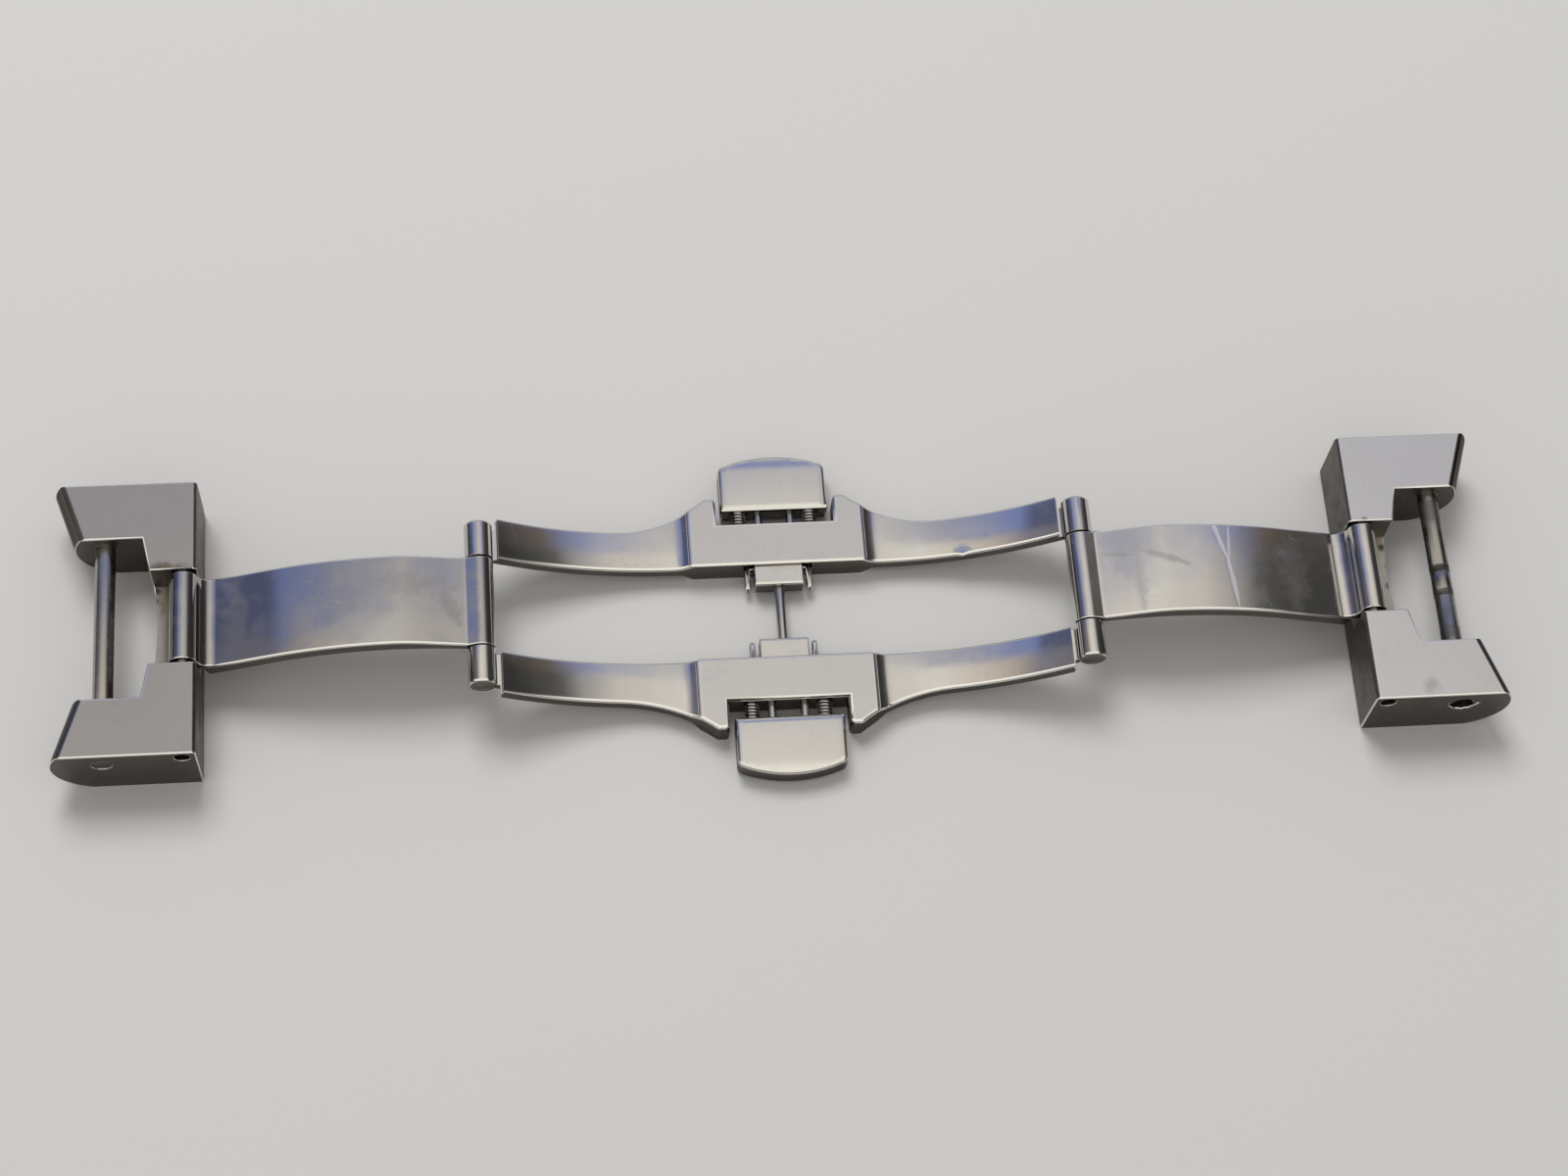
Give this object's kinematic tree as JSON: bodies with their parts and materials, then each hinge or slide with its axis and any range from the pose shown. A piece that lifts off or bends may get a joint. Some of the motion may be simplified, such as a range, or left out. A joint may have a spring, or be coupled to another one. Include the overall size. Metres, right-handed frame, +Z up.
{
  "type": "double-fold push-button watch clasp",
  "caption": "Open double-fold watch clasp: slim side rails with push-button catches, folding arms and slotted end links with cross pins for a metal bracelet.",
  "frame": {"origin": "on the table, in the middle of the clasp, under the side rails", "axes": "+X along the clasp towards the right end link, +Y across it towards the far rail, +Z up, from the outer side of the clasp to its wrist side"},
  "size_m": [0.099, 0.024, 0.0065],
  "materials": {
    "polished_steel": "mirror polished stainless steel with fine wear",
    "satin_steel": "satin stainless steel, polished on its sides",
    "button_steel": "fine satin stainless steel with polished bevels",
    "pin_steel": "dark polished steel",
    "spring_steel": "drawn spring wire"
  },
  "bodies": {
    "frame": {"far_side_rail": "polished_steel", "near_side_rail": "polished_steel", "left_hinge_pin": "pin_steel", "right_hinge_pin": "pin_steel", "catch_guide_rod": "pin_steel", "far_left_spring": "spring_steel", "far_right_spring": "spring_steel", "near_left_spring": "spring_steel", "near_right_spring": "spring_steel"},
    "left_arm": {"left_arm": "polished_steel"},
    "right_arm": {"right_arm": "polished_steel"},
    "left_end_link": {"left_end_link": "satin_steel", "left_link_pin": "pin_steel", "left_barrel_pin": "pin_steel"},
    "right_end_link": {"right_end_link": "satin_steel", "right_link_pin": "pin_steel", "right_barrel_pin": "pin_steel"},
    "far_button": {"far_button_cap": "button_steel", "far_catch": "button_steel", "far_left_guide_pin": "pin_steel", "far_right_guide_pin": "pin_steel"},
    "near_button": {"near_button_cap": "button_steel", "near_catch": "button_steel", "near_left_guide_pin": "pin_steel", "near_right_guide_pin": "pin_steel"}
  },
  "joints": [
    {"name": "left_fold", "type": "hinge", "parent": "frame", "child": "left_arm", "pos_m": [-0.0207, 0, 0.005], "axis": [0, -1, 0], "range_deg": [0, 161.66]},
    {"name": "left_link_turn", "type": "hinge", "parent": "left_arm", "child": "left_end_link", "pos_m": [-0.04066, 0, 0.0046], "axis": [0, -1, 0], "range_deg": [-161.7, 0]},
    {"name": "right_fold", "type": "hinge", "parent": "frame", "child": "right_arm", "pos_m": [0.0207, 0, 0.005], "axis": [0, 1, 0], "range_deg": [0, 161.66]},
    {"name": "right_link_turn", "type": "hinge", "parent": "right_arm", "child": "right_end_link", "pos_m": [0.04066, 0, 0.0046], "axis": [0, 1, 0], "range_deg": [-161.7, 0]},
    {"name": "far_press", "type": "slide", "parent": "frame", "child": "far_button", "axis": [0, -1, 0], "range_m": [0, 0.001], "stiffness_N_per_m": 1500, "springref_m": -0.001, "deforming": ["far_left_spring", "far_right_spring"]},
    {"name": "near_press", "type": "slide", "parent": "frame", "child": "near_button", "axis": [0, 1, 0], "range_m": [0, 0.001], "stiffness_N_per_m": 1500, "springref_m": -0.001, "deforming": ["near_left_spring", "near_right_spring"]}
  ],
  "couplings": [
    {"joint": "left_link_turn", "follows": "left_fold", "ratio": -1},
    {"joint": "right_link_turn", "follows": "right_fold", "ratio": -1}
  ]
}
